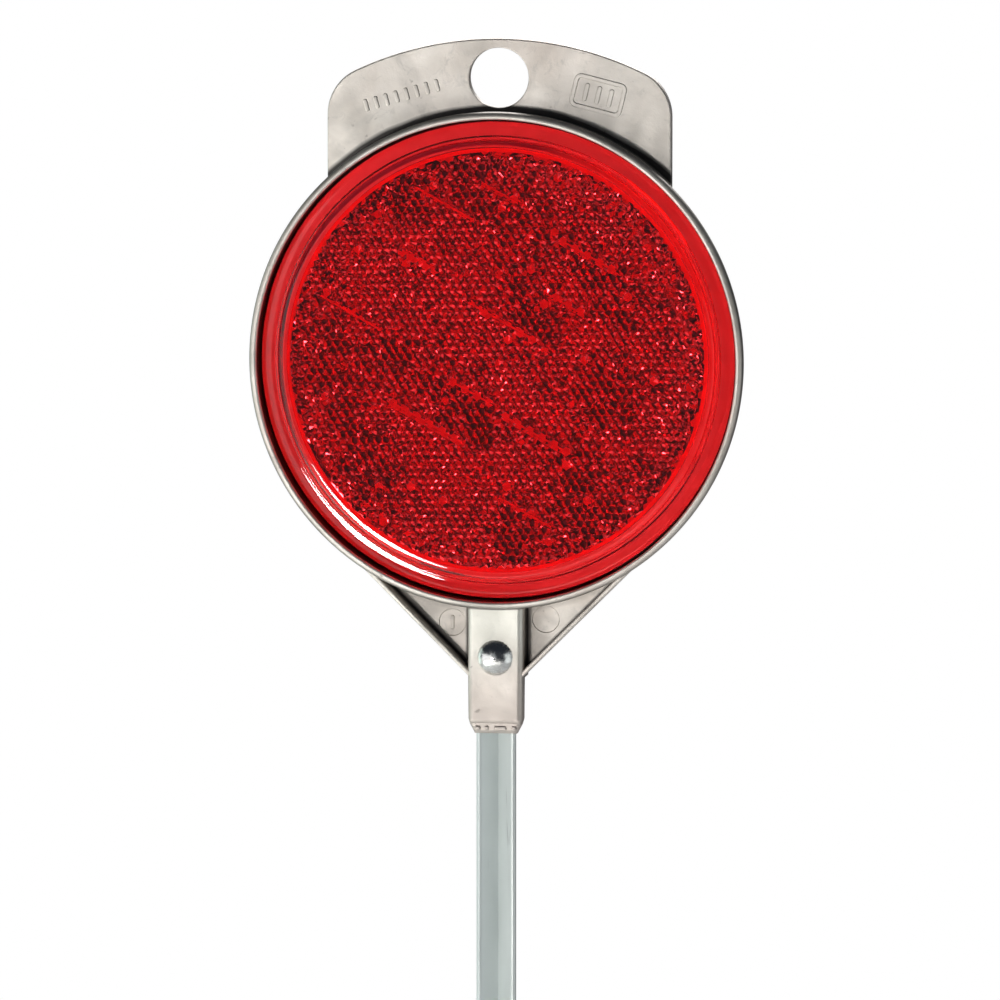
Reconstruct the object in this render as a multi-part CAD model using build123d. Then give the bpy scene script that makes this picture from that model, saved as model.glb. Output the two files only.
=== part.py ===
from build123d import *
import os
from math import cos, radians, sin, sqrt

# A driveway snow marker: a round red reflector in the cup of a cast head, riveted to a V-section stake.
# Millimetres. +Z is up, the reflector faces -Y, and the origin is under the middle of the marker, level
# with the stake's tip.
#
# The head's own frame lies on its flat back, at the centre of the cup: x to the right, y up, and z is the
# height above the back, towards the front. HEAD carries shapes from that frame to the marker's.

# ---- Driving dimensions ----
TOTAL_HEIGHT = 914.4            # 36 in, stake tip to the top of the ear
BACK_TO_FRONT = 8.0             # flat back to the top of the rivet's head

CUP_RADIUS = 43.4               # outside of the rim
RIM_WALL = 1.3                  # at the front
CUP_BACK_RADIUS = 42.6          # the cup's wall leans in towards its back, below the draft line
DRAFT_LINE_HEIGHT = 5.2
RIM_HEIGHT = 7.0
RIM_OUTER_ROUND = 0.85
RIM_INNER_ROUND = 0.4
CUP_FLOOR = 1.5
CORE_RECESS_RADIUS = 34.0       # shallow cored recess in the back of the cup
CORE_RECESS_DEPTH = 0.4
EJECTOR_RADIUS = 2.6            # round ejector marks in that recess
EJECTOR_CIRCLE_RADIUS = 25.0
EJECTOR_COUNT = 6
GATE_RADIUS = 4.0               # raised gate mark at its centre
CASTING_ROUND = 0.3             # outer edges of the casting

PLATE_THICKNESS = 2.0           # ear and web
EAR_HALF_WIDTH = 30.2
EAR_TOP = 55.9                  # above the cup's centre
EAR_TOP_RADIUS = 59.0
EAR_CORNER_RADIUS = 8.5
HANG_HOLE_RADIUS = 5.2
HANG_HOLE_Y = 49.1

SOCKET_HALF_WIDTH = 5.0
SOCKET_END_HALF_WIDTH = 4.8
SOCKET_HEIGHT = 6.5
SOCKET_SHOULDER_Y = -63.1       # where the socket starts to narrow to its nose
SOCKET_END_Y = -65.8
NOSE_HALF_WIDTH = 3.9
NOSE_BEVEL = 0.7
SOCKET_ROUND = 1.1              # long front edges of the socket
PARTING_HEIGHT = 4.0            # below the ribs, the socket's sides lean in from here to its back
PARTING_LEAN = 0.6
CAVITY_TOP_Y = -44.8
SOCKET_FRONT_WALL = 1.0
SOCKET_BACK_WALL = 1.1

RIB_LINE = 42.4                 # distance of a rib's outer face from the cup's centre
RIB_THICKNESS = 1.1
RIB_HEIGHT = 6.0
RIB_ROUND = 0.3
RIB_FOOT_OVERLAP = 1.4          # how far a rib runs onto the socket

PAD_RADIUS = 2.4                # ejector marks in the web
PAD_DEPTH = 0.2
PAD_CENTRES = [(-8.2, -46.2), (8.3, -45.4)]
MARK_HEIGHT = 0.2               # raised casting marks, plain shapes with no lettering

LENS_RADIUS = 41.6
LENS_FACE_RADIUS = 38.7
PRISM_RADIUS = 36.6             # hollow behind the face, which holds the prisms
LENS_FLANGE_THICKNESS = 1.6
LENS_THICKNESS = 3.2
LENS_PLATE = 2.2
FLANGE_ROUND = 1.5
FACE_ROUND = 0.7
BACKING_RADIUS = 41.4
BACKING_THICKNESS = 1.0
WELD_RING_RADIUS = 35.6         # low locating ring on the backing, inside the lens's hollow
WELD_RING_WALL = 0.8
WELD_RING_HEIGHT = 0.5
ADHESIVE_RADIUS = 38.0
ADHESIVE_THICKNESS = 0.5

STAKE_HALF_WIDTH = 3.5
STAKE_WALL = 1.1
STAKE_EDGE_ROUND = 0.45 * STAKE_WALL
STAKE_CLEARANCE = 0.05          # each side, in the socket
STAKE_INSERTION = 19.8
POINT_LENGTH = 28.0
POINT_FLAT = 0.6                # half-width of the blunt tip

RIVET_Y = -51.8
RIVET_HEAD_RADIUS = 3.1
RIVET_HEAD_HEIGHT = BACK_TO_FRONT - SOCKET_HEIGHT
RIVET_SHANK_RADIUS = 1.6
RIVET_HOLE_CLEARANCE = 0.05
COUNTERSINK_DEPTH = 0.7
COUNTERSINK_RADIUS = RIVET_SHANK_RADIUS + RIVET_HOLE_CLEARANCE + COUNTERSINK_DEPTH

# ---- Places that follow from them ----
CUP_Z = TOTAL_HEIGHT - EAR_TOP
HEAD = Plane(origin=(0, BACK_TO_FRONT / 2, CUP_Z), x_dir=(1, 0, 0), z_dir=(0, -1, 0)).location
RIVET_HOLE_RADIUS = RIVET_SHANK_RADIUS + RIVET_HOLE_CLEARANCE
CAVITY_DEPTH = SOCKET_HEIGHT - SOCKET_FRONT_WALL - SOCKET_BACK_WALL
RIB_REACH = RIB_LINE * sqrt(2)  # where a rib's outer face would cross the head's middle line
DIAGONAL = RIB_THICKNESS * sqrt(2)


def block(outline, bottom, top):
    """Extrudes a face of the head's plane from one height to another."""
    return Pos(0, 0, bottom) * extrude(outline, top - bottom)


def disc(radius, bottom, top, x=0.0, y=0.0):
    """A round disc or boss that stands along the head's z."""
    return Pos(x, y, bottom) * Cylinder(radius, top - bottom, align=(Align.CENTER, Align.CENTER, Align.MIN))


def turned(points):
    """A solid of revolution about the head's z, from its half section as (radius, height) points."""
    return revolve(Plane.XZ * make_face(Polyline(*points, close=True)), Axis.Z)


def edges_at_height(shape, height):
    return shape.edges().filter_by_position(Axis.Z, height - 0.001, height + 0.001)


# ---- Head casting ----
def ear():
    arc_centre_y = EAR_TOP - EAR_TOP_RADIUS
    strip = Pos(0, EAR_TOP / 2) * Rectangle(2 * EAR_HALF_WIDTH, EAR_TOP)
    outline = (Pos(0, arc_centre_y) * Circle(EAR_TOP_RADIUS)) & strip
    corners = outline.vertices().sort_by(Axis.Y)[-2:]
    plate = block(fillet(corners, EAR_CORNER_RADIUS), 0, PLATE_THICKNESS)
    return fillet(edges_at_height(plate, 0) + edges_at_height(plate, PLATE_THICKNESS), CASTING_ROUND)


def cup():
    """The cup with its floor, the front edges of its rim rounded."""
    body = turned([
        (0, 0),
        (CUP_BACK_RADIUS, 0),
        (CUP_RADIUS, DRAFT_LINE_HEIGHT),
        (CUP_RADIUS, RIM_HEIGHT),
        (CUP_RADIUS - RIM_WALL, RIM_HEIGHT),
        (CUP_RADIUS - RIM_WALL, CUP_FLOOR),
        (0, CUP_FLOOR),
    ])
    body = fillet(edges_at_height(body, RIM_HEIGHT).sort_by(SortBy.RADIUS)[-1], RIM_OUTER_ROUND)
    body = fillet(edges_at_height(body, RIM_HEIGHT).sort_by(SortBy.RADIUS)[0], RIM_INNER_ROUND)
    return fillet(edges_at_height(body, 0), CASTING_ROUND)


def web():
    half = RIB_LINE / sqrt(2)
    foot_y = SOCKET_HALF_WIDTH - RIB_REACH
    points = [(-half, -half), (half, -half), (SOCKET_HALF_WIDTH, foot_y), (-SOCKET_HALF_WIDTH, foot_y)]
    return block(make_face(Polyline(*points, close=True)), 0, PLATE_THICKNESS)


def rib(side):
    """One slanting rib, from where it leaves the rim down to the socket's front face."""
    top_x, foot_x = RIB_LINE / sqrt(2), SOCKET_HALF_WIDTH - RIB_FOOT_OVERLAP
    points = [
        (top_x, top_x - RIB_REACH),
        (foot_x, foot_x - RIB_REACH),
        (foot_x, foot_x - RIB_REACH + DIAGONAL),
        (top_x, top_x - RIB_REACH + DIAGONAL),
    ]
    outline = make_face(Polyline(*[(side * x, y) for x, y in points], close=True))
    bar = block(outline, 0, RIB_HEIGHT)
    return fillet(edges_at_height(bar, RIB_HEIGHT), RIB_ROUND)


def socket():
    """The stake socket: a box with a small taper and a narrower nose, its front edges rounded."""
    top_y = -(CUP_RADIUS - RIM_WALL)
    right = [
        (SOCKET_HALF_WIDTH, top_y),
        (SOCKET_END_HALF_WIDTH, SOCKET_SHOULDER_Y),
        (NOSE_HALF_WIDTH, SOCKET_END_Y),
    ]
    left = [(-x, y) for x, y in reversed(right)]
    body = block(make_face(Polyline(*right, *left, close=True)), 0, SOCKET_HEIGHT)
    bevel = Plane.YZ * make_face(Polyline(
        (SOCKET_SHOULDER_Y, SOCKET_HEIGHT),
        (SOCKET_END_Y, SOCKET_HEIGHT),
        (SOCKET_END_Y, SOCKET_HEIGHT - NOSE_BEVEL),
        close=True,
    ))
    body -= extrude(bevel, SOCKET_HALF_WIDTH, both=True)
    front = body.faces().filter_by(Plane.XY).sort_by(Axis.Z)[-1]
    sides = [edge for edge in front.edges() if abs(edge.tangent_at(0.5).Y) > 0.9]
    return fillet(sides, SOCKET_ROUND)


def side_lean(side):
    """What the lean of one side of the socket takes off, from the foot of the web down."""
    outer, inner = SOCKET_HALF_WIDTH + 1, SOCKET_END_HALF_WIDTH - PARTING_LEAN
    section = Plane.XZ * make_face(Polyline(
        (side * inner, 0),
        (side * outer, 0),
        (side * outer, PARTING_HEIGHT),
        (side * SOCKET_END_HALF_WIDTH, PARTING_HEIGHT),
        close=True,
    ))
    top_y = SOCKET_HALF_WIDTH - RIB_REACH - 0.4
    return Pos(0, top_y, 0) * extrude(section, top_y - SOCKET_END_Y + 1)


def socket_cavity():
    half_width = STAKE_HALF_WIDTH + STAKE_CLEARANCE
    length = CAVITY_TOP_Y - SOCKET_END_Y
    outline = Pos(0, (CAVITY_TOP_Y + SOCKET_END_Y) / 2) * Rectangle(2 * half_width, length)
    return block(outline, SOCKET_BACK_WALL, SOCKET_BACK_WALL + CAVITY_DEPTH)


def countersink():
    return turned([
        (0, 0),
        (COUNTERSINK_RADIUS, 0),
        (COUNTERSINK_RADIUS - COUNTERSINK_DEPTH, COUNTERSINK_DEPTH),
        (0, COUNTERSINK_DEPTH),
    ])


def bar_mark(x, y, width, height, angle):
    """A low raised bar on the front of the plate."""
    outline = Pos(x, y) * Rot(0, 0, angle) * RectangleRounded(width, height, 0.45 * min(width, height))
    return block(outline, PLATE_THICKNESS - MARK_HEIGHT, PLATE_THICKNESS + MARK_HEIGHT)


def ear_marks():
    """Plain raised marks: a row of short bars on the left of the ear and a framed hatch on the right."""
    marks = []
    row_x, row_y, row_angle, pitch, count = -17.1, 45.9, 16.0, 1.85, 8
    for step in range(count):
        along = (step - (count - 1) / 2) * pitch
        x = row_x + along * cos(radians(row_angle))
        y = row_y + along * sin(radians(row_angle))
        marks.append(bar_mark(x, y, 0.7, 2.2, row_angle))

    frame_x, frame_y, frame_angle = 17.4, 46.2, -14.0
    frame_width, frame_height, frame_line = 9.4, 6.0, 0.7
    place = Pos(frame_x, frame_y) * Rot(0, 0, frame_angle)
    outer = RectangleRounded(frame_width, frame_height, 1.2)
    inner = RectangleRounded(frame_width - 2 * frame_line, frame_height - 2 * frame_line, 0.6)
    frame = block(place * (outer - inner), PLATE_THICKNESS - MARK_HEIGHT, PLATE_THICKNESS + MARK_HEIGHT)
    marks.append(frame)
    for step in (-1, 0, 1):
        x = frame_x + step * 2.2 * cos(radians(frame_angle))
        y = frame_y + step * 2.2 * sin(radians(frame_angle))
        marks.append(bar_mark(x, y, 0.8, 3.2, frame_angle))
    return marks


def ejector_marks():
    """The round hollows that ejector pins leave: in the back recess, and in the web beside the socket."""
    turn = 360 / EJECTOR_COUNT
    for step in range(EJECTOR_COUNT):
        x = EJECTOR_CIRCLE_RADIUS * cos(radians((step + 0.5) * turn))
        y = EJECTOR_CIRCLE_RADIUS * sin(radians((step + 0.5) * turn))
        yield disc(EJECTOR_RADIUS, 0, CORE_RECESS_DEPTH + PAD_DEPTH, x, y)
    for x, y in PAD_CENTRES:
        yield disc(PAD_RADIUS, PLATE_THICKNESS - PAD_DEPTH, PLATE_THICKNESS, x, y)


def head_casting():
    body = ear() + cup() + web() + rib(-1) + rib(1) + socket()
    body -= disc(CUP_RADIUS - RIM_WALL, CUP_FLOOR, BACK_TO_FRONT)
    body -= disc(CORE_RECESS_RADIUS, 0, CORE_RECESS_DEPTH)
    body -= disc(HANG_HOLE_RADIUS, 0, PLATE_THICKNESS, y=HANG_HOLE_Y)
    body -= socket_cavity()
    body -= side_lean(-1) + side_lean(1)
    body -= disc(RIVET_HOLE_RADIUS, 0, SOCKET_HEIGHT, y=RIVET_Y)
    body -= Pos(0, RIVET_Y, 0) * countersink()
    for mark in ejector_marks():
        body -= mark
    body += disc(GATE_RADIUS, CORE_RECESS_DEPTH - PAD_DEPTH, CORE_RECESS_DEPTH)
    for mark in ear_marks():
        body += mark
    left_pad_x, left_pad_y = PAD_CENTRES[0]
    return body + Pos(0, 0, -PAD_DEPTH) * bar_mark(left_pad_x, left_pad_y, 0.6, 2.4, 0)


# ---- Reflector ----
def lens():
    """A flange and a raised face with rounded edges in front, hollow behind the face."""
    face = LENS_THICKNESS
    section = Polyline(
        (0, face - LENS_PLATE),
        (PRISM_RADIUS, face - LENS_PLATE),
        (PRISM_RADIUS, 0),
        (LENS_RADIUS, 0),
        (LENS_RADIUS, LENS_FLANGE_THICKNESS),
        (LENS_FACE_RADIUS, LENS_FLANGE_THICKNESS),
        (LENS_FACE_RADIUS, face),
        (0, face),
        close=True,
    )
    profile = make_face(section)
    corners = profile.vertices()
    flange_corner = corners.filter_by_position(Axis.X, LENS_RADIUS, LENS_RADIUS).sort_by(Axis.Y)[-1]
    profile = fillet(flange_corner, FLANGE_ROUND)
    corners = profile.vertices()
    face_corner = corners.filter_by_position(Axis.X, LENS_FACE_RADIUS, LENS_FACE_RADIUS).sort_by(Axis.Y)[-1]
    profile = fillet(face_corner, FACE_ROUND)
    return revolve(Plane.XZ * profile, Axis.Z)


def backing():
    """A plain disc with a low ring that centres it in the lens's hollow."""
    ring = disc(WELD_RING_RADIUS, 0, BACKING_THICKNESS + WELD_RING_HEIGHT)
    ring -= disc(WELD_RING_RADIUS - WELD_RING_WALL, 0, BACKING_THICKNESS + WELD_RING_HEIGHT)
    return disc(BACKING_RADIUS, 0, BACKING_THICKNESS) + ring


# ---- Stake and rivet ----
def stake():
    """A V of two legs at 45 degrees, open to the front, with rounded free edges and a cut point."""
    socket_mouth_z = CUP_Z + SOCKET_END_Y
    length = socket_mouth_z + STAKE_INSERTION
    ridge = STAKE_WALL * sqrt(2)
    # The rounded edges leave the legs' sharp corners outside the stake's width.
    reach = STAKE_HALF_WIDTH - STAKE_EDGE_ROUND - (STAKE_WALL - 2 * STAKE_EDGE_ROUND) / sqrt(2)
    leg_end = [(reach, reach), (reach + ridge / 2, reach - ridge / 2)]
    outline = [(0, 0), *leg_end, (0, -ridge), *[(-x, y) for x, y in reversed(leg_end)]]
    section = make_face(Polyline(*outline, close=True))
    leg_corners = section.vertices().sort_by(Axis.Y)[-4:]
    section = fillet(leg_corners, STAKE_EDGE_ROUND)
    # The section is drawn with its mouth towards +Y, and turned round to open to the front.
    valley_y = BACK_TO_FRONT / 2 - SOCKET_BACK_WALL - STAKE_CLEARANCE - ridge
    body = Pos(0, valley_y, 0) * Rot(0, 0, 180) * extrude(section, length)
    for side in (-1, 1):
        wedge = make_face(Polyline(
            (side * POINT_FLAT, 0),
            (side * 2 * STAKE_HALF_WIDTH, 0),
            (side * 2 * STAKE_HALF_WIDTH, POINT_LENGTH),
            (side * STAKE_HALF_WIDTH, POINT_LENGTH),
            close=True,
        ))
        body -= extrude(Plane.XZ * wedge, 2 * BACK_TO_FRONT, both=True)
    hole = disc(RIVET_HOLE_RADIUS, 0, SOCKET_HEIGHT, y=RIVET_Y)
    return body - HEAD * hole


def stake_rivet():
    """Domed head in front, plain shank, and a tail that fills the countersink flush with the back."""
    base = SOCKET_HEIGHT
    dome_radius = (RIVET_HEAD_RADIUS**2 + RIVET_HEAD_HEIGHT**2) / (2 * RIVET_HEAD_HEIGHT)
    dome = Pos(0, 0, BACK_TO_FRONT - dome_radius) * Sphere(dome_radius)
    dome &= disc(RIVET_HEAD_RADIUS, base, BACK_TO_FRONT)
    shank = disc(RIVET_SHANK_RADIUS, 0, base)
    tail = turned([
        (0, 0),
        (COUNTERSINK_RADIUS - RIVET_HOLE_CLEARANCE, 0),
        (RIVET_SHANK_RADIUS, COUNTERSINK_DEPTH),
        (0, COUNTERSINK_DEPTH),
    ])
    return Pos(0, RIVET_Y, 0) * (dome + shank + tail)


# ---- Nodes ----
BACKING_BASE = CUP_FLOOR + ADHESIVE_THICKNESS
LENS_BASE = BACKING_BASE + BACKING_THICKNESS
NODES = {
    "head_casting": HEAD * head_casting(),
    "adhesive_pad": HEAD * disc(ADHESIVE_RADIUS, CUP_FLOOR, BACKING_BASE),
    "reflector_backing": HEAD * (Pos(0, 0, BACKING_BASE) * backing()),
    "reflector_lens": HEAD * (Pos(0, 0, LENS_BASE) * lens()),
    "stake": stake(),
    "stake_rivet": HEAD * stake_rivet(),
}

os.makedirs("parts", exist_ok=True)
for name, shape in NODES.items():
    export_step(shape, f"parts/{name}.step")
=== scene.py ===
import math
import random

import bmesh
import bpy
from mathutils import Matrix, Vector


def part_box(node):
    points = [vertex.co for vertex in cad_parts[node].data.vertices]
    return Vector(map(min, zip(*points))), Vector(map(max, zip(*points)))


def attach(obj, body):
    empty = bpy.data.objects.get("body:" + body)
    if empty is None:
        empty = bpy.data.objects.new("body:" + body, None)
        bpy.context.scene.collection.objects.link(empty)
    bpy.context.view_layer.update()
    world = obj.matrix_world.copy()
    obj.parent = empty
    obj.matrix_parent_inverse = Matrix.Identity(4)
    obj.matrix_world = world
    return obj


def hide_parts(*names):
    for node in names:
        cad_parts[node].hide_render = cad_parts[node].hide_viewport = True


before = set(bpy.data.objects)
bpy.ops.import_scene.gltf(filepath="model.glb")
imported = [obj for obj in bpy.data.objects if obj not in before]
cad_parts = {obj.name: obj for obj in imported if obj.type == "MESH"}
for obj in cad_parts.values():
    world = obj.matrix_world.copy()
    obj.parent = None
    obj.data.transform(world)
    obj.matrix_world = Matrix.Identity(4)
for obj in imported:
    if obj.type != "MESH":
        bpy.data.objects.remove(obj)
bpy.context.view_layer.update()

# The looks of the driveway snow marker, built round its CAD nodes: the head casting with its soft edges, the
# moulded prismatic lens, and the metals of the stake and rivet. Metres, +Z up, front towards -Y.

MM = 0.001

# ---- Places read from the frame ----
LENS_LOW, LENS_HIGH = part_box("reflector_lens")
LENS_CENTRE = (LENS_LOW + LENS_HIGH) / 2
LENS_FRONT_Y = LENS_LOW.y
LENS_BACK_Y = LENS_HIGH.y + 0.03 * MM     # pressed into the backing, with no air between
LENS_RADIUS = (LENS_HIGH.x - LENS_LOW.x) / 2
BACK_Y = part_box("head_casting")[1].y
HEAD = Vector((LENS_CENTRE.x, 0, LENS_CENTRE.z))


def mesh_object(name, bm):
    """Finishes a bmesh as an object of the scene."""
    mesh = bpy.data.meshes.new(name)
    bm.to_mesh(mesh)
    bm.free()
    made = bpy.data.objects.new(name, mesh)
    bpy.context.scene.collection.objects.link(made)
    return made


def arc(centre, radius, start, end, steps=6):
    """Points on an arc in a flat section, angles in degrees."""
    points = []
    for step in range(steps + 1):
        angle = math.radians(start + (end - start) * step / steps)
        points.append((centre[0] + radius * math.cos(angle), centre[1] + radius * math.sin(angle)))
    return points


# ---- Head casting, drawn on its flat back: x to the right, z up from the cup's centre, and height towards
# ---- the front, all in millimetres ----
CUP_RADIUS, RIM_WALL, RIM_HEIGHT, CUP_FLOOR = 43.38, 1.28, 7.0, 1.5
RIM_OUTER_ROUND, RIM_INNER_ROUND, DRAFT_LINE = 0.85, 0.4, 5.2
PLATE, SOCKET_HEIGHT, RIB_HEIGHT = 2.0, 6.5, 6.0
PARTING_HEIGHT = 4              # below it, the socket's sides lean in towards the back
RIB_REACH = 42.4 * math.sqrt(2)  # where a rib's outer face, at 45 degrees, would meet the axes
RIB_BAND = 0.8 * math.sqrt(2)
RIVET_Z, RIVET_HOLE_RADIUS = -51.8, 1.65
HOLE_Z, HOLE_RADIUS = 49.1, 5.2
RECESS_RADIUS, RECESS_DEPTH = 34.0, 0.4
BACK_PADS, BACK_PAD_RADIUS, BACK_PAD_CIRCLE = 6, 2.6, 25
WEB_PADS, WEB_PAD_RADIUS = ((-8.2, -46.2), (8.3, -45.4)), 2.4
ROW_X, ROW_Z, ROW_ANGLE, ROW_PITCH = -17.1, 45.9, 16, 1.85           # short bars on the left of the ear
FRAME_X, FRAME_Z, FRAME_ANGLE, HATCH_PITCH = 17.4, 46.2, -14, 2.2    # framed hatch on its right
NOSE_MARKS = ((-3.1, 1.1), (-1.5, 0.8), (0.9, 2.2), (3.3, 0.9))      # (x, width)


def head_point(x, z, height):
    return (HEAD.x + x * MM, BACK_Y - height * MM, HEAD.z + z * MM)


def side_profile(low, high, front_round=0.0, back_round=0.0):
    """(inset, height) pairs from the back face to the front face of a plate, its edges rounded."""
    points = [(0, low)]
    if back_round:
        points = [(back_round + x, y) for x, y in arc((0, low + back_round), back_round, 270, 180, 4)]
    if front_round:
        points += [(front_round + x, y) for x, y in arc((0, high - front_round), front_round, 180, 90, 5)]
    else:
        points.append((0, high))
    return points


def inset_convex(points, inset):
    """A convex outline, counter-clockwise, with every side moved in."""
    moved = []
    count = len(points)
    for k in range(count):
        before, here, after = (Vector(points[(k + d) % count]) for d in (-1, 0, 1))
        first, second = (here - before).normalized(), (after - here).normalized()
        n1, n2 = Vector((-first.y, first.x)), Vector((-second.y, second.x))
        moved.append(here + (n1 + n2) * (inset / (1 + n1.dot(n2))))
    return moved


def circle(radius, x=0.0, z=0.0, segments=48):
    def outline(inset):
        turns = (2 * math.pi * k / segments for k in range(segments))
        return [(x + (radius - inset) * math.cos(t), z + (radius - inset) * math.sin(t)) for t in turns]
    return outline


def ear(inset):
    """The ear's outline: straight sides, rounded corners and a flat arc for its top."""
    half, low, arc_z, top_radius, corner = 30.2, 20.0, -3.1, 59.0, 8.5
    corner_steps = 16
    corner_x = half - corner
    corner_z = arc_z + math.sqrt((top_radius - corner) ** 2 - corner_x**2)
    turn = math.degrees(math.atan2(corner_z - arc_z, corner_x))
    points = [(half - inset, low)]
    points += arc((corner_x, corner_z), corner - inset, 0, turn, corner_steps)
    points += arc((0, arc_z), top_radius - inset, turn, 180 - turn, 64)[1:-1]
    return points + [(-x, z) for x, z in reversed(points[:corner_steps + 2])]


def polygon(points):
    return lambda inset: inset_convex(points, inset)


def bar(x, z, width, height, angle, corner):
    """A small bar or frame with round corners, turned by an angle in degrees."""
    def outline(inset):
        w, h, r = width / 2 - inset, height / 2 - inset, corner - inset
        turn = math.radians(angle)
        points = []
        for cx, cz, start in ((w - r, h - r, 0), (r - w, h - r, 90), (r - w, r - h, 180), (w - r, r - h, 270)):
            for px, pz in arc((cx, cz), r, start, start + 90, 4):
                points.append((x + px * math.cos(turn) - pz * math.sin(turn),
                               z + px * math.sin(turn) + pz * math.cos(turn)))
        return points
    return outline


def stack(bm, outline, profile):
    """Adds a closed shell from an outline drawn at each (inset, height) of a profile."""
    loops = [[bm.verts.new(head_point(x, z, height)) for x, z in outline(inset)] for inset, height in profile]
    count = len(loops[0])
    for a, b in zip(loops, loops[1:]):
        for k in range(count):
            bm.faces.new((a[k], b[k], b[(k + 1) % count], a[(k + 1) % count]))
    bm.faces.new(loops[0])
    bm.faces.new(reversed(loops[-1]))


def combine(base, shells, operation):
    """Joins or cuts a mesh with shells that don't overlap each other: (outline, profile) pairs."""
    bm = bmesh.new()
    for outline, profile in shells:
        stack(bm, outline, profile)
    bmesh.ops.remove_doubles(bm, verts=bm.verts, dist=1e-7)
    bmesh.ops.recalc_face_normals(bm, faces=bm.faces)
    tool = mesh_object("tool", bm)
    modifier = base.modifiers.new("combine", "BOOLEAN")
    modifier.object, modifier.operation, modifier.solver = tool, operation, "EXACT"
    bake_modifiers(base)
    bpy.data.objects.remove(tool)


def bake_modifiers(made):
    mesh = bpy.data.meshes.new_from_object(made.evaluated_get(bpy.context.evaluated_depsgraph_get()))
    made.modifiers.clear()
    made.data = mesh


def smooth_by_angle(made, degrees):
    """Smooth shading that keeps the edges sharper than an angle, with large flat faces left flat."""
    mesh = made.data
    mesh.shade_smooth()
    bm = bmesh.new()
    bm.from_mesh(mesh)
    for edge in bm.edges:
        edge.smooth = edge.is_manifold and edge.calc_face_angle() < math.radians(degrees)
    bm.to_mesh(mesh)
    bm.free()
    modifier = made.modifiers.new("weighted", "WEIGHTED_NORMAL")
    modifier.keep_sharp = True
    bake_modifiers(made)


def along_line(x, z, angle, distance):
    """The point at a distance from (x, z), in a direction in degrees."""
    return x + distance * math.cos(math.radians(angle)), z + distance * math.sin(math.radians(angle))


def ear_bars():
    """Plain raised marks: a row of short bars on the left of the ear and a framed hatch on the right."""
    low, high = PLATE - 0.2, PLATE + 0.2
    shells = []
    for step in range(8):
        x, z = along_line(ROW_X, ROW_Z, ROW_ANGLE, (step - 3.5) * ROW_PITCH)
        shells.append((bar(x, z, 0.7, 2.2, ROW_ANGLE, 0.3), side_profile(low, high, 0.12)))
    for step in (-1, 0, 1):
        x, z = along_line(FRAME_X, FRAME_Z, FRAME_ANGLE, step * HATCH_PITCH)
        shells.append((bar(x, z, 0.8, 3.2, FRAME_ANGLE, 0.35), side_profile(low, high, 0.12)))
    return shells


def ear_frame():
    """The hatch's raised border, as a mesh of its own."""
    bm = bmesh.new()
    stack(bm, bar(FRAME_X, FRAME_Z, 9.4, 6.0, FRAME_ANGLE, 1.2), side_profile(PLATE - 0.2, PLATE + 0.2, 0.12))
    bmesh.ops.recalc_face_normals(bm, faces=bm.faces)
    border = mesh_object("border", bm)
    window = [(0.06, PLATE - 1), (0.06, PLATE + 0.08), (-0.04, PLATE + 0.2), (-0.04, PLATE + 1)]
    combine(border, [(bar(FRAME_X, FRAME_Z, 8.0, 4.6, FRAME_ANGLE, 0.6), window)], "DIFFERENCE")
    return border


def cast_body():
    """The cup, ear, web, ribs and socket, joined shell by shell. The ribs, the socket and the nose start
    0.02 mm apart in height, so that their backs don't coincide with one another or with the web's."""
    web_top, web_foot = RIB_REACH / 2, RIB_REACH - 5.0
    web = [(-web_top, -web_top), (-5.0, -web_foot), (5.0, -web_foot), (web_top, -web_top)]
    side = RIB_REACH - 0.03
    rib = [(3.6, 3.6 - side), (side / 2, -side / 2),
           (side / 2, RIB_BAND - side / 2), (3.6, 3.6 - side + RIB_BAND)]
    other_rib = [(-x, z) for x, z in reversed(rib)]
    shoulder = [(-5.0, -42.1), (-4.92, -55.4), (4.92, -55.4), (5.0, -42.1)]
    socket = [(-5.0, -42.1), (-4.92, -54.2), (-4.84, -62.6), (-4.5, -63.7),
              (4.5, -63.7), (4.84, -62.6), (4.92, -54.2), (5.0, -42.1)]
    nose = [(-4.6, -60.0), (-4.6, -63.5), (-3.7, -65.2), (3.7, -65.2), (4.6, -63.5), (4.6, -60.0)]

    bm = bmesh.new()
    cup = [(1.0, 0), (0.8, 0.2)] + side_profile(DRAFT_LINE, RIM_HEIGHT, RIM_OUTER_ROUND)
    stack(bm, circle(CUP_RADIUS, segments=256), cup)
    bmesh.ops.recalc_face_normals(bm, faces=bm.faces)
    casting = mesh_object("head_casting_surface", bm)
    above_parting = PARTING_HEIGHT + 0.1
    socket_sides = side_profile(above_parting, SOCKET_HEIGHT, 1.1)
    nose_sides = side_profile(above_parting, SOCKET_HEIGHT - 0.3, 0.9)
    shells = [
        (ear, side_profile(0, PLATE, 0.3, 0.3)),
        (polygon(web), side_profile(0, PLATE)),
        (polygon(rib), side_profile(0.02, RIB_HEIGHT, 0.3)),
        (polygon(other_rib), side_profile(0.02, RIB_HEIGHT, 0.3)),
        (polygon(shoulder), side_profile(0.04, PARTING_HEIGHT - 0.02)),
        (polygon(socket), [(0.6, 0.06), (0, PARTING_HEIGHT)] + socket_sides),
        (polygon(nose), [(0.6, 0.08), (0, PARTING_HEIGHT)] + nose_sides),
    ]
    for shell in shells:
        combine(casting, [shell], "UNION")
    return casting


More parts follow.
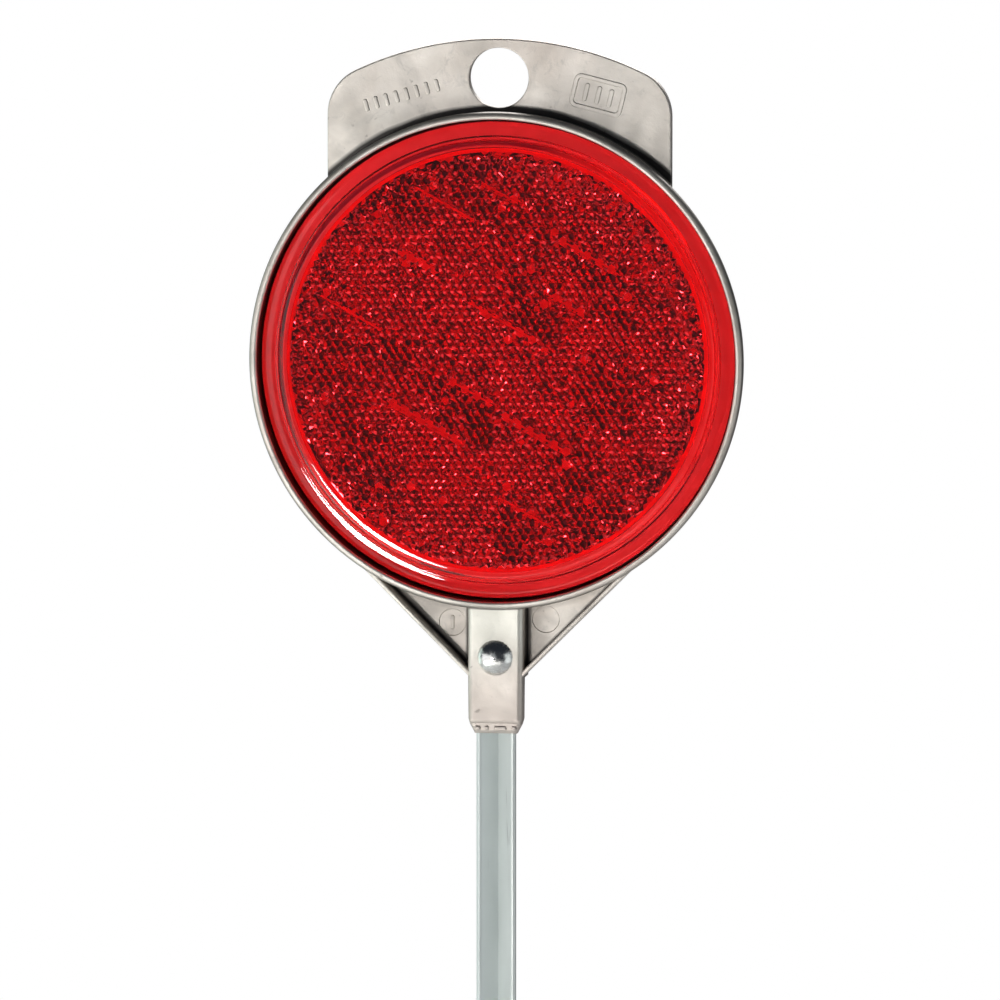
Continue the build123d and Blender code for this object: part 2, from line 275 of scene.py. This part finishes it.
def cut_hollows(casting):
    """The cup's hollow, the hanging hole, the stake's cavity, the rivet's hole and the shallow round marks."""
    mouth = RIM_HEIGHT - RIM_INNER_ROUND
    flare = [(-RIM_INNER_ROUND + x, y) for x, y in arc((0, mouth), RIM_INNER_ROUND, 0, 90, 5)]
    cup_hollow = [(0.4, CUP_FLOOR), (0, CUP_FLOOR + 0.4)] + flare + [(-RIM_INNER_ROUND, 9)]
    hanging_hole = [(-0.2, -1), (-0.2, 0), (0, 0.2), (0, 1.75), (-0.08, 1.93), (-0.25, PLATE), (-0.25, 3)]
    cuts = [
        (circle(CUP_RADIUS - RIM_WALL, segments=256), cup_hollow),
        (circle(HOLE_RADIUS, z=HOLE_Z, segments=96), hanging_hole),
        (bar(0, -55.8, 7.1, 22.0, 0, 0.2), [(0, 1.1), (0, 5.5)]),
    ]
    for x, z in WEB_PADS:
        cuts.append((circle(WEB_PAD_RADIUS, x, z), [(0.1, PLATE - 0.2), (0, PLATE - 0.1), (0, 3)]))
    combine(casting, cuts, "DIFFERENCE")
    rivet_hole = [(-0.7, -1), (-0.7, 0), (0, 0.7), (0, 9)]
    combine(casting, [(circle(RIVET_HOLE_RADIUS, z=RIVET_Z), rivet_hole)], "DIFFERENCE")
    recess = [(0, -1), (0, 0), (0.3, RECESS_DEPTH)]
    combine(casting, [(circle(RECESS_RADIUS, segments=128), recess)], "DIFFERENCE")
    pads = []
    for step in range(BACK_PADS):
        x, z = along_line(0, 0, (step + 0.5) * 360 / BACK_PADS, BACK_PAD_CIRCLE)
        pads.append((circle(BACK_PAD_RADIUS, x, z), [(0, -1), (0, 0.5), (0.1, 0.6)]))
    combine(casting, pads, "DIFFERENCE")


def raise_marks(casting):
    """The marks on the ear, web and nose, and the gate's scar in the recess of the back."""
    raised = ear_bars() + [(circle(4.0), [(0.1, 0.2), (0, 0.3), (0, 0.45)])]
    left_pad_x, left_pad_z = WEB_PADS[0]
    raised.append((bar(left_pad_x, left_pad_z, 0.6, 2.4, 0, 0.25), side_profile(PLATE - 0.4, PLATE, 0.1)))
    nose_bump = side_profile(SOCKET_HEIGHT - 1.0, SOCKET_HEIGHT - 0.06, 0.3)
    raised += [(bar(x, -64.2, width, 0.9, 0, 0.35), nose_bump) for x, width in NOSE_MARKS]
    border = ear_frame()
    bm = bmesh.new()
    for outline, profile in raised:
        stack(bm, outline, profile)
    bmesh.ops.recalc_face_normals(bm, faces=bm.faces)
    bm.from_mesh(casting.data)
    bm.from_mesh(border.data)
    bm.to_mesh(casting.data)
    bm.free()
    bpy.data.objects.remove(border)


def make_casting():
    casting = cast_body()
    cut_hollows(casting)
    raise_marks(casting)
    smooth_by_angle(casting, 32)
    return casting


# ---- Lens moulding ----
FIELD_RADIUS = 37.05 * MM   # of the wall round the pins
PINS_RADIUS = 36.4 * MM
PLATE_BACK = 2.2 * MM       # from the face to the plane that the pins' corners are sunk from
LENS_SEGMENTS = 256
PIN_PITCH = 1.41 * MM
PIN_DEPTH = 0.86            # of a true cube corner's
LATTICE_ANGLE = math.radians(1.0)
SEAM_ANGLE = LATTICE_ANGLE - math.radians(30)
SEAM_WIDTH = 0.34 * MM
SEAM_COUNT = 13
BLOCK_WIDTH = 11.6 * MM
BLOCK_HEIGHT = 15.5 * MM
POST_COUNT = 64             # smooth round spots among the pins
GROOVES = ((39.0 * MM, 0.2 * MM), (37.9 * MM, 0.16 * MM))     # (radius, half width)


def lens_section():
    """Half section of the lens from the middle of its face to the wall round the pins: (radius, y).
    The face eases down at its edge, a step leads to the flange, and two V grooves run round the back."""
    face_edge, face_bend, face_step = 36.7, 11, 0.2
    flange_start, flange_depth, flange_slope, flange_bend, flange_step = 39.25, 1.6, 0.02, 14, 0.21
    points = [(20.0, 0.0), (31.0, 0.0), (face_edge, 0.0)]
    for x in (face_step * k for k in range(1, 6)):
        points.append((face_edge + x, x**2 / (2 * face_bend)))
    points += [(x, -y) for x, y in arc((37.65, -0.92), 0.85, 78, 15, 7)]
    points += [(x, -y) for x, y in arc((38.8, -1.3), 0.3, 195, 270, 3)]
    for x in (flange_step * k for k in range(6)):
        points.append((flange_start + x, flange_depth + flange_slope * x + x**2 / (2 * flange_bend)))
    points += [(x, -y) for x, y in arc((40.75, -2.57), 0.85, 78, 0, 7)]
    points.append((41.6, 3.2))
    points = [(radius * MM, LENS_FRONT_Y + depth * MM) for radius, depth in points]
    points.append((LENS_RADIUS, LENS_BACK_Y))
    for radius, half_width in GROOVES:
        points += [(radius + half_width, LENS_BACK_Y), (radius, LENS_BACK_Y - half_width),
                   (radius - half_width, LENS_BACK_Y)]
    points.append((FIELD_RADIUS + 0.1 * MM, LENS_BACK_Y))
    points += [(FIELD_RADIUS, LENS_BACK_Y - 0.1 * MM), (FIELD_RADIUS, LENS_FRONT_Y + PLATE_BACK)]
    return points


def block_at(p, blocks, rng):
    """The pin depth of the block of pins a point is in, and the block's lean at that point."""
    column = math.floor(p.x / BLOCK_WIDTH)
    phase = blocks.setdefault(("phase", column), rng.uniform(0, BLOCK_HEIGHT))
    along = p.y - p.x * math.tan(SEAM_ANGLE) - phase
    row = math.floor(along / BLOCK_HEIGHT)
    if (column, row) not in blocks:
        blocks[column, row] = Vector((rng.gauss(0, 0.007), rng.gauss(0, 0.007))), rng.uniform(0.96, 1.04)
    tilt, depth = blocks[column, row]
    middle = (row + 0.5) * BLOCK_HEIGHT + phase + p.x * math.tan(SEAM_ANGLE)
    return depth, tilt.dot(p - Vector(((column + 0.5) * BLOCK_WIDTH, middle)))


def wear(p):
    """0 over most of the pins, and up to 1 at their edge to the upper right and lower left, where the
    moulding is less even."""
    side = abs(math.cos(math.atan2(p.y, p.x) - math.radians(42))) ** 3
    return max(0.0, p.length / FIELD_RADIUS - 0.8) / 0.2 * (0.25 + 0.75 * side)


def pin_depth(p, level, step_y, blocks, rng):
    """How deep a corner of a pin reaches into the lens."""
    depth, lean = block_at(p, blocks, rng)
    return max(0.0, (2 - level) * step_y * depth + lean + rng.gauss(0, 0.020 + 0.07 * wear(p)) * MM)


def cut_seams(bm, y, rng):
    """Short flat lines pressed across the pins, all in one direction."""
    along = Vector((math.cos(SEAM_ANGLE), math.sin(SEAM_ANGLE)))
    across = Vector((-along.y, along.x))
    field = PINS_RADIUS * 0.93
    for start in scatter(rng, SEAM_COUNT, PINS_RADIUS * 0.85, 9 * MM):
        length = min(rng.uniform(6, 15) * MM, math.sqrt(field**2 - start.length**2))
        ends = [start - along * length / 2, start + along * length / 2]
        if max(end.length for end in ends) > field:
            continue

        def local(co):
            offset = Vector((co.x - HEAD.x, co.z - HEAD.z)) - start
            return offset.dot(along), offset.dot(across)

        def is_near(face):
            u, v = local(face.calc_center_median())
            return not face.smooth and abs(u) < length / 2 and abs(v) < 1.2 * MM

        for side in (-1, 1):
            near = [f for f in bm.faces if is_near(f)]
            geometry = set(near) | {e for f in near for e in f.edges} | {v for f in near for v in f.verts}
            edge = start + across * side * SEAM_WIDTH / 2
            edge_point, edge_normal = (HEAD.x + edge.x, 0, HEAD.z + edge.y), (across.x, 0, across.y)
            bmesh.ops.bisect_plane(bm, geom=list(geometry), dist=0.01 * MM,
                                   plane_co=edge_point, plane_no=edge_normal)
        for vert in bm.verts:
            u, v = local(vert.co)
            in_seam = abs(u) < length / 2 and abs(v) < SEAM_WIDTH / 2 + 0.02 * MM
            if in_seam and vert.co.y > LENS_FRONT_Y + 0.5 * MM:
                vert.co.y = y


def scatter(rng, count, reach, apart):
    """Random spots within a circle, each at least a distance from the others."""
    spots = []
    while len(spots) < count:
        angle, r = rng.uniform(0, 2 * math.pi), math.sqrt(rng.random()) * reach
        spot = Vector((r * math.cos(angle), r * math.sin(angle)))
        if all((spot - other).length > apart for other in spots):
            spots.append(spot)
    return spots


def turn_body(bm):
    """The lens's turned surface, from the middle of its face to the wall round the pins. Gives back the
    wall's last ring."""
    rings = []
    for radius, y in lens_section():
        ring = []
        for k in range(LENS_SEGMENTS):
            turn = 2 * math.pi * k / LENS_SEGMENTS
            ring.append(bm.verts.new((HEAD.x + radius * math.cos(turn), y, HEAD.z + radius * math.sin(turn))))
        rings.append(ring)
    middle = bm.verts.new((HEAD.x, LENS_FRONT_Y, HEAD.z))
    first, count = rings[0], LENS_SEGMENTS
    smooth = [bm.faces.new((middle, first[k], first[(k + 1) % count])) for k in range(count)]
    for a, b in zip(rings, rings[1:]):
        for k in range(count):
            smooth.append(bm.faces.new((a[k], b[k], b[(k + 1) % count], a[(k + 1) % count])))
    for face in smooth:
        face.smooth = True
    return rings[-1]


def sink_pins(bm, edge, step_y, rng):
    """A triangular lattice whose corners are sunk in turn by none, one and two steps, which makes three-sided
    pins. Gives back the edges round its outside."""
    base_y = LENS_FRONT_Y + PLATE_BACK
    first, second = LATTICE_ANGLE + math.radians(30), LATTICE_ANGLE + math.radians(90)
    a1 = Vector((math.cos(first), math.sin(first))) * edge
    a2 = Vector((math.cos(second), math.sin(second))) * edge
    span = int(FIELD_RADIUS / edge * 1.3) + 3
    spots = scatter(rng, POST_COUNT, PINS_RADIUS * 0.95, 5.5 * MM)
    posts = [(spot, rng.uniform(0.3, 0.62) * MM) for spot in spots]
    blocks, verts, inner = {}, {}, set()
    for i in range(-span, span + 1):
        for j in range(-span, span + 1):
            p = a1 * i + a2 * j
            if p.length > PINS_RADIUS + 1.05 * edge:
                continue
            y, shift = base_y, Vector((0, 0))
            if p.length > PINS_RADIUS - 0.25 * edge:
                p = p * (PINS_RADIUS / p.length)
            else:
                inner.add((i, j))
                spread = 0.12
                if all((p - q).length > r for q, r in posts):
                    y -= pin_depth(p, (i - j) % 3, step_y, blocks, rng)
                    spread = 0.018 + 0.06 * wear(p)
                shift = Vector((rng.gauss(0, spread), rng.gauss(0, spread))) * MM
            verts[i, j] = bm.verts.new((HEAD.x + p.x + shift.x, y, HEAD.z + p.y + shift.y))
    faces = []
    for i, j in verts:
        for tri in (((i, j), (i + 1, j), (i, j + 1)), ((i + 1, j), (i + 1, j - 1), (i, j))):
            if all(k in verts for k in tri) and any(k in inner for k in tri):
                faces.append(bm.faces.new([verts[k] for k in tri]))
    outside = {e for f in faces for e in f.edges if len(e.link_faces) == 1}
    bmesh.ops.delete(bm, geom=[v for v in verts.values() if not v.link_faces], context="VERTS")
    return outside


def make_lens():
    """A flange and raised face in front, and a field of three-sided pins behind the face."""
    rng = random.Random(11)
    edge = PIN_PITCH / math.sqrt(3)
    step_y = edge * math.sqrt(1.5) / math.sqrt(3) * PIN_DEPTH
    bm = bmesh.new()
    wall = turn_body(bm)
    outside = sink_pins(bm, edge, step_y, rng)
    border = [bm.edges.get((wall[k], wall[(k + 1) % LENS_SEGMENTS])) for k in range(LENS_SEGMENTS)]
    bmesh.ops.triangle_fill(bm, use_beauty=True, use_dissolve=False, edges=border + list(outside))
    cut_seams(bm, LENS_FRONT_Y + PLATE_BACK - 0.8 * step_y, rng)
    bmesh.ops.recalc_face_normals(bm, faces=bm.faces)
    for e in bm.edges:
        e.smooth = e.calc_face_angle(math.pi) < math.radians(35)
    return mesh_object("lens_moulding", bm)


# ---- Materials ----
class Material:
    """A procedural material: a Principled shader fed by nodes in the object's own coordinates."""

    def __init__(self, name):
        self.material = bpy.data.materials.new(name)
        self.material.use_nodes = True
        self.tree = self.material.node_tree
        self.shader = self.tree.nodes["Principled BSDF"]
        self.place = self.node("ShaderNodeTexCoord").outputs["Object"]

    def node(self, kind, **settings):
        made = self.tree.nodes.new(kind)
        for key, value in settings.items():
            setattr(made, key, value)
        return made

    def feed(self, socket, value):
        if isinstance(value, bpy.types.NodeSocket):
            self.tree.links.new(value, socket)
        else:
            socket.default_value = value

    def set(self, **values):
        for key, value in values.items():
            self.feed(self.shader.inputs[key.replace("_", " ")], value)

    def stretched(self, x, y, z):
        """The object's coordinates, multiplied axis by axis."""
        made = self.node("ShaderNodeVectorMath", operation="MULTIPLY")
        self.feed(made.inputs[0], self.place)
        self.feed(made.inputs[1], (x, y, z))
        return made.outputs[0]

    def noise(self, scale, detail=3.0, roughness=0.55, vector=None, distortion=0.0):
        made = self.node("ShaderNodeTexNoise")
        self.feed(made.inputs["Vector"], vector or self.place)
        self.feed(made.inputs["Scale"], scale)
        self.feed(made.inputs["Detail"], detail)
        self.feed(made.inputs["Roughness"], roughness)
        self.feed(made.inputs["Distortion"], distortion)
        return made.outputs["Fac"]

    def math(self, operation, a, b=0.0, clamp=False):
        made = self.node("ShaderNodeMath", operation=operation, use_clamp=clamp)
        self.feed(made.inputs[0], a)
        self.feed(made.inputs[1], b)
        return made.outputs[0]

    def product(self, *factors):
        result = factors[0]
        for factor in factors[1:]:
            result = self.math("MULTIPLY", result, factor)
        return result

    def span(self, value, low, high, to_low=0.0, to_high=1.0):
        """Maps a value from one range to another, clamped."""
        made = self.node("ShaderNodeMapRange")
        for key, number in (("Value", value), ("From Min", low), ("From Max", high),
                            ("To Min", to_low), ("To Max", to_high)):
            self.feed(made.inputs[key], number)
        return made.outputs[0]

    def blend(self, factor, first, second):
        made = self.node("ShaderNodeMix", data_type="RGBA")
        self.feed(made.inputs[0], factor)
        self.feed(made.inputs[6], first)
        self.feed(made.inputs[7], second)
        return made.outputs[2]

    def bump(self, height, distance, strength=1.0, normal=None):
        made = self.node("ShaderNodeBump")
        self.feed(made.inputs["Height"], height)
        self.feed(made.inputs["Distance"], distance)
        self.feed(made.inputs["Strength"], strength)
        if normal:
            self.feed(made.inputs["Normal"], normal)
        return made.outputs[0]

    def from_head(self):
        """x, depth behind the lens's face, z and radius, from the cup's axis and in millimetres."""
        offset = self.node("ShaderNodeVectorMath", operation="SUBTRACT")
        self.feed(offset.inputs[0], self.place)
        self.feed(offset.inputs[1], (HEAD.x, LENS_FRONT_Y, HEAD.z))
        scaled = self.node("ShaderNodeVectorMath", operation="SCALE")
        self.feed(scaled.inputs[0], offset.outputs[0])
        self.feed(scaled.inputs["Scale"], 1 / MM)
        parts = self.node("ShaderNodeSeparateXYZ")
        self.feed(parts.inputs[0], scaled.outputs[0])
        x, y, z = parts.outputs
        radius = self.math("SQRT", self.math("ADD", self.math("MULTIPLY", x, x), self.math("MULTIPLY", z, z)))
        return x, y, z, radius


def painted_corner_shade(m):
    """1 where shade is painted on the casting: in and round the rim, and beside the ribs and the socket."""
    x, depth, z, radius = m.from_head()
    across = m.math("ABSOLUTE", x)
    wobble = m.product(m.math("SUBTRACT", m.noise(70, 2), 0.5), 1.2)
    rim = m.product(m.span(radius, 42.9, 43.3), m.span(m.math("ADD", radius, wobble), 44.0, 44.7, 1, 0),
                    m.span(depth, 2.0, 3.5), m.span(z, -20, 10, 0.25, 1.0))
    inside = m.product(m.span(radius, 42.15, 42.35, 1, 0), m.span(depth, -0.1, 0.3))
    crest = m.product(m.span(radius, 42.85, 43.3, 0, 0.6), m.span(radius, 43.39, 43.5, 1, 0),
                      m.span(depth, 0.6, 1.6, 1, 0))

    corner = m.math("SUBTRACT", across, z)
    from_rib = m.math("SUBTRACT", corner, m.span(x, -1, 1, 58.2, 58.3))
    beside_rib = m.product(m.span(from_rib, -0.3, 0.3), m.span(corner, 58.9, 59.1, 1, 0),
                           m.span(depth, 0.9, 3.4), m.span(across, 5.0, 5.1))
    from_socket = m.math("SUBTRACT", across, m.span(x, -1, 1, 5.75, 5.3))
    beside_socket = m.product(m.span(across, 4.85, 4.98), m.span(from_socket, -0.2, 0.2, 1, 0),
                              m.span(z, -55.4, -54.6), m.span(depth, 0.6, 2.2))
    low = m.product(m.math("MAXIMUM", beside_rib, beside_socket), m.span(z, -30, -28, 1, 0))
    most = m.math("MAXIMUM", m.math("MAXIMUM", rim, inside), m.math("MAXIMUM", low, crest))
    return m.product(most, m.span(depth, 4.9, 5.3, 1, 0))


def handling_smudges(m, tone):
    """The casting's tone with smudges round the two marks on the ear."""
    x, _, z, _ = m.from_head()
    for centre in (ROW_X, FRAME_X):
        beside, above = m.math("SUBTRACT", x, centre), m.math("SUBTRACT", z, 46.0)
        away = m.math("ADD", m.product(beside, beside), m.product(above, above, 3.0))
        handled = m.product(m.span(away, 20, 130, 0.5, 0.0), m.noise(150, 4, 0.6, distortion=1.2))
        tone = m.blend(handled, tone, (0.52, 0.48, 0.45, 1))
    return tone


def socket_tones(m, tone):
    """The casting's tone with the front of the socket lighter at its top and darker towards its nose."""
    x, _, z, _ = m.from_head()
    front = m.product(m.span(m.math("ABSOLUTE", x), 4.6, 5.2, 1, 0), m.span(z, -43.5, -43.3, 1, 0))
    tone = m.blend(m.product(front, m.span(z, -55, -47), 0.7), tone, (1.0, 0.99, 0.90, 1))
    return m.blend(m.product(front, m.span(z, -62, -52, 1, 0), 0.6), tone, (0.68, 0.59, 0.54, 1))


def cast_metal():
    """Satin cast alloy: cloudy tone, fine grain, small pits, and painted shade where the rim meets the plate.
    """
    m = Material("cast_alloy")
    clouds = m.span(m.noise(110, 4, 0.6, distortion=0.6), 0.32, 0.68)
    broad = m.span(m.noise(28, 2, 0.5), 0.35, 0.65)
    smudge = m.span(m.noise(62, 3, 0.6, distortion=1.0), 0.48, 0.66)
    streaks = m.span(m.noise(240, 4, 0.65, distortion=1.6), 0.56, 0.70)
    pits = m.span(m.noise(620, 2, 0.5), 0.70, 0.76)
    tone = m.blend(clouds, (0.78, 0.69, 0.62, 1), (0.96, 0.88, 0.81, 1))
    for mask, strength, colour in ((broad, 0.35, (0.93, 0.93, 0.86, 1)), (smudge, 0.45, (0.46, 0.43, 0.39, 1)),
                                   (streaks, 0.30, (0.42, 0.40, 0.37, 1)), (pits, 0.3, (0.28, 0.26, 0.25, 1))):
        tone = m.blend(m.product(mask, strength), tone, colour)
    tone = socket_tones(m, handling_smudges(m, tone))
    # Painted shade: near black round and inside the rim and beside the ribs and the socket, standing in for
    # shadow.
    tone = m.blend(m.product(painted_corner_shade(m), 0.94), tone, (0.018, 0.016, 0.017, 1))
    rough = m.math("ADD", m.span(m.noise(180, 3), 0.3, 0.7, 0.44, 0.56), m.product(pits, 0.2), clamp=True)
    grain = m.bump(m.noise(1500, 4, 0.65), 0.00004, 0.6)
    surface = m.bump(m.noise(160, 2, 0.5), 0.00012, 0.5, grain)
    m.set(Base_Color=tone, Metallic=0.8, Roughness=rough, Normal=surface)
    return m.material


def stake_metal():
    """Strip rolled to a V: fine lines along its length, a faint spangle, a little soil and odd scratches. Its
    left side is painted darker, as painted shade."""
    m = Material("drawn_aluminium")
    lines = m.noise(1.0, 4, 0.6, vector=m.stretched(2600, 2600, 14))
    spangle = m.noise(260, 1, 0.4, vector=m.stretched(1, 1, 0.35))
    tone = m.blend(m.span(spangle, 0.35, 0.65), (0.88, 0.93, 0.91, 1), (0.95, 1.0, 0.98, 1))
    scratch = m.span(m.noise(1.0, 2, 0.5, vector=m.stretched(900, 900, 60), distortion=0.4), 0.70, 0.74)
    tone = m.blend(m.product(scratch, 0.4), tone, (0.42, 0.43, 0.43, 1))
    soil = m.product(m.span(m.noise(160, 4, 0.6, vector=m.stretched(1, 1, 0.2)), 0.5, 0.75),
                     m.span(m.noise(7, 2), 0.45, 0.7))
    tone = m.blend(m.product(soil, 0.3), tone, (0.46, 0.44, 0.41, 1))
    x, _, _, _ = m.from_head()
    # Painted shade: the left side of the V is darkened.
    tone = m.blend(m.span(x, -0.1, 0.1, 0.3, 0.0), tone, (0.50, 0.56, 0.58, 1))
    rough = m.span(lines, 0.25, 0.75, 0.26, 0.42)
    m.set(Base_Color=tone, Metallic=0.3, Roughness=rough, Normal=m.bump(lines, 0.00003, 0.5))
    return m.material


def rivet_metal():
    """Bright upset rivet with small dents and patches of tarnish."""
    m = Material("rivet_head")
    dents = m.noise(700, 3, 0.6)
    stain = m.span(m.noise(900, 3, 0.6), 0.52, 0.72)
    tone = m.blend(m.product(stain, 0.45), (0.86, 0.86, 0.84, 1), (0.50, 0.46, 0.41, 1))
    rough = m.span(dents, 0.3, 0.7, 0.16, 0.30)
    m.set(Base_Color=tone, Metallic=1.0, Roughness=rough, Normal=m.bump(dents, 0.00012, 0.6))
    return m.material


def lens_plastic():
    """Clear red acrylic, with painted shade on the upper left of the step to the flange. Shadow rays pass it
    with a red tint, so lamps light what lies behind it."""
    m = Material("red_acrylic")
    tint = m.blend(m.noise(60, 2), (0.76, 0.024, 0.030, 1), (0.68, 0.018, 0.024, 1))
    x, _, z, radius = m.from_head()
    # Painted shade: the upper left of the step to the flange is tinted near black, standing in for shadow.
    step = m.product(m.span(radius, 37.5, 37.75), m.span(radius, 38.4, 38.6, 1, 0),
                     m.span(m.math("SUBTRACT", z, x), 8, 30, 0.0, 0.9))
    tint = m.blend(m.span(radius, 36.3, 36.5), tint, (1.0, 0.030, 0.036, 1))
    tint = m.blend(step, tint, (0.02, 0.004, 0.016, 1))
    scuff = m.span(m.noise(900, 3, 0.6, distortion=0.5), 0.62, 0.80, 0.0, 0.05)
    m.set(Base_Color=tint, Roughness=scuff, IOR=1.49, Transmission_Weight=1.0)
    clear = m.node("ShaderNodeBsdfTransparent")
    clear.inputs["Color"].default_value = (1.0, 0.07, 0.07, 1)
    path = m.node("ShaderNodeLightPath")
    mix = m.node("ShaderNodeMixShader")
    m.feed(mix.inputs[0], path.outputs["Is Shadow Ray"])
    m.feed(mix.inputs[1], m.shader.outputs[0])
    m.feed(mix.inputs[2], clear.outputs[0])
    m.feed(m.tree.nodes["Material Output"].inputs["Surface"], mix.outputs[0])
    return m.material


def backing_plastic():
    """White moulded disc with a soft mottle."""
    m = Material("white_backing")
    tone = m.blend(m.span(m.noise(180, 3), 0.35, 0.65), (0.88, 0.88, 0.86, 1), (0.95, 0.95, 0.93, 1))
    m.set(Base_Color=tone, Roughness=0.5, Normal=m.bump(m.noise(1800, 2), 0.00002, 0.5))
    return m.material


def foam():
    """Closed-cell foam tape."""
    m = Material("foam_tape")
    cells = m.node("ShaderNodeTexVoronoi")
    m.feed(cells.inputs["Vector"], m.place)
    m.feed(cells.inputs["Scale"], 2600.0)
    tone = m.blend(cells.outputs["Distance"], (0.07, 0.07, 0.07, 1), (0.16, 0.16, 0.16, 1))
    m.set(Base_Color=tone, Roughness=0.9, Normal=m.bump(cells.outputs["Distance"], 0.00006, 0.8))
    return m.material


def floor_paint():
    """Pale paint, which the camera sees lit as evenly as the white room around it."""
    m = Material("floor_paint")
    m.set(Base_Color=m.blend(m.noise(3, 2), (0.86, 0.86, 0.86, 1), (0.90, 0.90, 0.90, 1)), Roughness=0.9)
    path = m.node("ShaderNodeLightPath")
    m.set(Emission_Color=(1, 1, 1, 1), Emission_Strength=m.product(path.outputs["Is Camera Ray"], 0.75))
    return m.material


lens = make_lens()
lens.data.materials.append(lens_plastic())
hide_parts("reflector_lens")
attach(lens, "root")

casting = make_casting()
casting.data.materials.clear()
casting.data.materials.append(cast_metal())
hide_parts("head_casting")
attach(casting, "root")

for node, material in (("stake", stake_metal()), ("stake_rivet", rivet_metal()),
                       ("reflector_backing", backing_plastic()), ("adhesive_pad", foam())):
    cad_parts[node].material_slots[0].material = material


# ---- Studio ----
def softbox(name, azimuth, elevation, distance, size, radiance, tint=(1, 1, 1)):
    """A rectangular lamp aimed at the head, placed by its angles seen from the head's front, in degrees."""
    a, e = math.radians(azimuth), math.radians(elevation)
    data = bpy.data.lights.new(name, "AREA")
    data.shape = "RECTANGLE"
    data.size, data.size_y = size
    data.energy = radiance * math.pi * size[0] * size[1]
    data.color = tint
    lamp = bpy.data.objects.new(name, data)
    bpy.context.scene.collection.objects.link(lamp)
    out = Vector((math.sin(a) * math.cos(e), -math.cos(a) * math.cos(e), math.sin(e)))
    lamp.location = HEAD + out * distance
    lamp.rotation_mode = "QUATERNION"
    lamp.rotation_quaternion = out.to_track_quat("Z", "Y")
    lamp.visible_camera = False
    return lamp


softbox("sun", -13, -11, 1.6, (0.13, 0.13), 64.0, (1.0, 0.985, 0.96)).visible_transmission = False
softbox("window", -46, -16, 1.6, (1.75, 1.5), 1.05)
softbox("lower_left", -50, -38, 1.4, (0.8, 0.8), 1.8, (0.90, 1.0, 0.93))
softbox("front", -10, 2, 1.7, (0.8, 0.9), 0.14, (0.80, 0.90, 1.0))
softbox("low", -4, -42, 1.4, (1.6, 0.8), 1.3, (1.0, 0.99, 0.95))
softbox("left", -98, 0, 1.4, (0.7, 1.3), 1.3, (0.85, 1.0, 0.93))
softbox("right", 68, -8, 1.5, (0.9, 1.1), 0.8, (0.95, 1.0, 1.0))
# Two small lamps that only show as sparkles, through the pins of the lens.
for name, azimuth, elevation in (("glint_low", -34, -25), ("glint_high", 46, 31)):
    glint = softbox(name, azimuth, elevation, 1.5, (0.28, 0.28), 30.0)
    glint.visible_diffuse = glint.visible_glossy = False
softbox("rear", 180, 42, 2.0, (1.8, 1.5), 4.5)

world = bpy.data.worlds.new("studio")
bpy.context.scene.world = world
world.use_nodes = True
nodes, links = world.node_tree.nodes, world.node_tree.links
nodes["Background"].inputs["Color"].default_value = (1, 1, 1, 1)
dim = nodes.new("ShaderNodeBackground")
dim.inputs["Color"].default_value = (0.62, 0.75, 1.0, 1)
dim.inputs["Strength"].default_value = 0.025
path = nodes.new("ShaderNodeLightPath")
mix = nodes.new("ShaderNodeMixShader")
links.new(path.outputs["Is Camera Ray"], mix.inputs[0])
links.new(dim.outputs[0], mix.inputs[1])
links.new(nodes["Background"].outputs[0], mix.inputs[2])
links.new(mix.outputs[0], nodes["World Output"].inputs["Surface"])

FLOOR_RADIUS = 4.6
bpy.ops.mesh.primitive_circle_add(vertices=128, radius=FLOOR_RADIUS, fill_type="NGON", location=(0, 0, 0))
floor = bpy.context.object
floor.name = "floor"
floor.data.materials.append(floor_paint())

# ---- Camera, a little to the right of the head and a little above it ----
CAMERA_AZIMUTH = math.radians(8.6)
CAMERA_ELEVATION = math.radians(6)
CAMERA_DISTANCE = 1.6
VIEW_HALF_WIDTH = 87.1 * MM
AIM_RIGHT, AIM_BELOW = 0.5 * MM, 24.4 * MM
SENSOR_WIDTH = 36
camera_data = bpy.data.cameras.new("camera")
camera = bpy.data.objects.new("camera", camera_data)
bpy.context.scene.collection.objects.link(camera)
right = Vector((math.cos(CAMERA_AZIMUTH), math.sin(CAMERA_AZIMUTH), 0))
out = Vector((math.sin(CAMERA_AZIMUTH), -math.cos(CAMERA_AZIMUTH), 0)) * math.cos(CAMERA_ELEVATION)
out.z = math.sin(CAMERA_ELEVATION)
camera.location = HEAD + right * AIM_RIGHT + Vector((0, 0, -AIM_BELOW)) + out * CAMERA_DISTANCE
camera.rotation_mode = "QUATERNION"
camera.rotation_quaternion = out.to_track_quat("Z", "Y")
camera_data.sensor_width = SENSOR_WIDTH
camera_data.lens = SENSOR_WIDTH / 2 * CAMERA_DISTANCE / VIEW_HALF_WIDTH
camera_data.clip_start = 0.01
bpy.context.scene.camera = camera
bpy.context.scene.view_settings.view_transform = "Standard"
